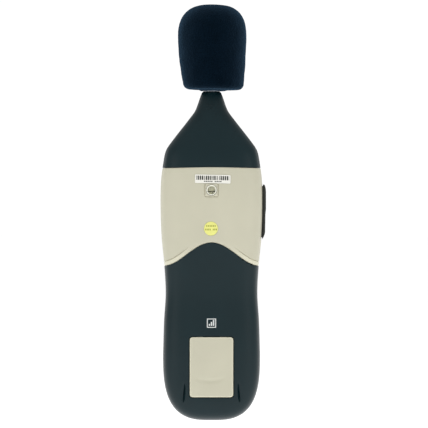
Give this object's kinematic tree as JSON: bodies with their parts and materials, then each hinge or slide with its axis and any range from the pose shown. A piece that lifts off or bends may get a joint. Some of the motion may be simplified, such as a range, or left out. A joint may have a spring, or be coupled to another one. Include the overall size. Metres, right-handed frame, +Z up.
{
  "type": "sound level meter",
  "caption": "Handheld sound level meter: waisted two-shell body with grey panels, conical neck, foam windscreen, display, keypad, battery door, socket cover and tripod socket.",
  "frame": {"origin": "centre of the tripod socket's mouth, in the middle of the back", "axes": "+Z up to the microphone, +Y out of the back along the tripod screw, display and keys facing -Y, socket cover on the -X side"},
  "size_m": [0.0765, 0.0498, 0.3011],
  "materials": {
    "slate_plastic": "soft-touch moulded plastic",
    "grey_plastic": "fine satin moulded plastic",
    "foam": "open-cell foam",
    "rubber": "moulded rubber",
    "dark_rubber": "moulded silicone rubber",
    "brass": "turned",
    "steel": "satin",
    "battery_can": "plain metal jacket",
    "circuit_board": "green solder mask",
    "black_plastic": "moulded",
    "white_plastic": "moulded",
    "clear_window": "clear moulded lens",
    "lcd_glass": "display glass, treated as opaque",
    "paper_label": "printed label",
    "yellow_sticker": "printed sticker",
    "red_wire": "wire insulation",
    "black_wire": "wire insulation"
  },
  "bodies": {
    "housing": {"rear_shell": "slate_plastic", "front_shell": "slate_plastic", "rear_panel": "grey_plastic", "front_panel": "grey_plastic", "serial_label": "paper_label", "round_sticker": "yellow_sticker", "battery_9v": "battery_can", "battery_snap": "black_plastic", "battery_lead_red": "red_wire", "battery_lead_black": "black_wire", "tripod_bush": "brass", "main_board": "circuit_board", "processor_chip": "black_plastic", "shield_can": "steel", "case_screw_1": "steel", "case_screw_2": "steel", "case_screw_3": "steel", "case_screw_4": "steel", "board_screw_1": "steel", "board_screw_2": "steel", "board_screw_3": "steel", "board_screw_4": "steel", "lcd_window": "clear_window", "lcd_frame": "black_plastic", "lcd_glass": "lcd_glass", "lcd_strip_lower": "dark_rubber", "lcd_strip_upper": "dark_rubber", "lcd_backlight": "white_plastic", "keypad_membrane": "dark_rubber", "mic_tube": "steel", "mic_capsule": "steel", "mic_grid": "steel", "preamp_board": "circuit_board", "mic_lead": "black_wire", "port_plate": "black_plastic", "dc_jack": "black_plastic", "output_jack": "black_plastic", "usb_socket": "steel", "port_board": "circuit_board", "board_header": "black_plastic", "cal_trimmer": "white_plastic"},
    "windscreen": {"windscreen": "foam"},
    "battery_door": {"battery_door": "grey_plastic", "door_pad": "foam"},
    "port_cover": {"port_cover": "rubber"},
    "cal_screw": {"cal_screw": "brass"},
    "key_hold": {"key_hold": "dark_rubber"},
    "key_range": {"key_range": "dark_rubber"},
    "key_max_min": {"key_max_min": "dark_rubber"},
    "key_response": {"key_response": "dark_rubber"},
    "key_weighting": {"key_weighting": "dark_rubber"},
    "key_backlight": {"key_backlight": "dark_rubber"},
    "key_up": {"key_up": "dark_rubber"},
    "key_down": {"key_down": "dark_rubber"},
    "key_power": {"key_power": "dark_rubber"}
  },
  "joints": [
    {"name": "windscreen_pull", "type": "slide", "parent": "housing", "child": "windscreen", "axis": [0, 0, 1], "range_m": [0, 0.045]},
    {"name": "battery_door_hinge", "type": "hinge", "parent": "housing", "child": "battery_door", "pos_m": [0, -0.0012, -0.1059], "axis": [1, 0, 0], "range_deg": [0, 80]},
    {"name": "port_cover_hinge", "type": "hinge", "parent": "housing", "child": "port_cover", "pos_m": [-0.0384, -0.019, -0.0342], "axis": [0, -1, 0], "range_deg": [0, 110]},
    {"name": "cal_screw_turn", "type": "hinge", "parent": "housing", "child": "cal_screw", "pos_m": [-0.0339, -0.019, -0.0306], "axis": [-1, 0, 0], "range_deg": [-135, 135]},
    {"name": "key_hold_press", "type": "slide", "parent": "housing", "child": "key_hold", "axis": [0, 1, 0], "range_m": [0, 0.001], "stiffness_N_per_m": 400, "springref_m": -0.001},
    {"name": "key_range_press", "type": "slide", "parent": "housing", "child": "key_range", "axis": [0, 1, 0], "range_m": [0, 0.001], "stiffness_N_per_m": 400, "springref_m": -0.001},
    {"name": "key_max_min_press", "type": "slide", "parent": "housing", "child": "key_max_min", "axis": [0, 1, 0], "range_m": [0, 0.001], "stiffness_N_per_m": 400, "springref_m": -0.001},
    {"name": "key_response_press", "type": "slide", "parent": "housing", "child": "key_response", "axis": [0, 1, 0], "range_m": [0, 0.001], "stiffness_N_per_m": 400, "springref_m": -0.001},
    {"name": "key_weighting_press", "type": "slide", "parent": "housing", "child": "key_weighting", "axis": [0, 1, 0], "range_m": [0, 0.001], "stiffness_N_per_m": 400, "springref_m": -0.001},
    {"name": "key_backlight_press", "type": "slide", "parent": "housing", "child": "key_backlight", "axis": [0, 1, 0], "range_m": [0, 0.001], "stiffness_N_per_m": 400, "springref_m": -0.001},
    {"name": "key_up_press", "type": "slide", "parent": "housing", "child": "key_up", "axis": [0, 1, 0], "range_m": [0, 0.001], "stiffness_N_per_m": 400, "springref_m": -0.001},
    {"name": "key_down_press", "type": "slide", "parent": "housing", "child": "key_down", "axis": [0, 1, 0], "range_m": [0, 0.001], "stiffness_N_per_m": 400, "springref_m": -0.001},
    {"name": "key_power_press", "type": "slide", "parent": "housing", "child": "key_power", "axis": [0, 1, 0], "range_m": [0, 0.001], "stiffness_N_per_m": 400, "springref_m": -0.001}
  ]
}
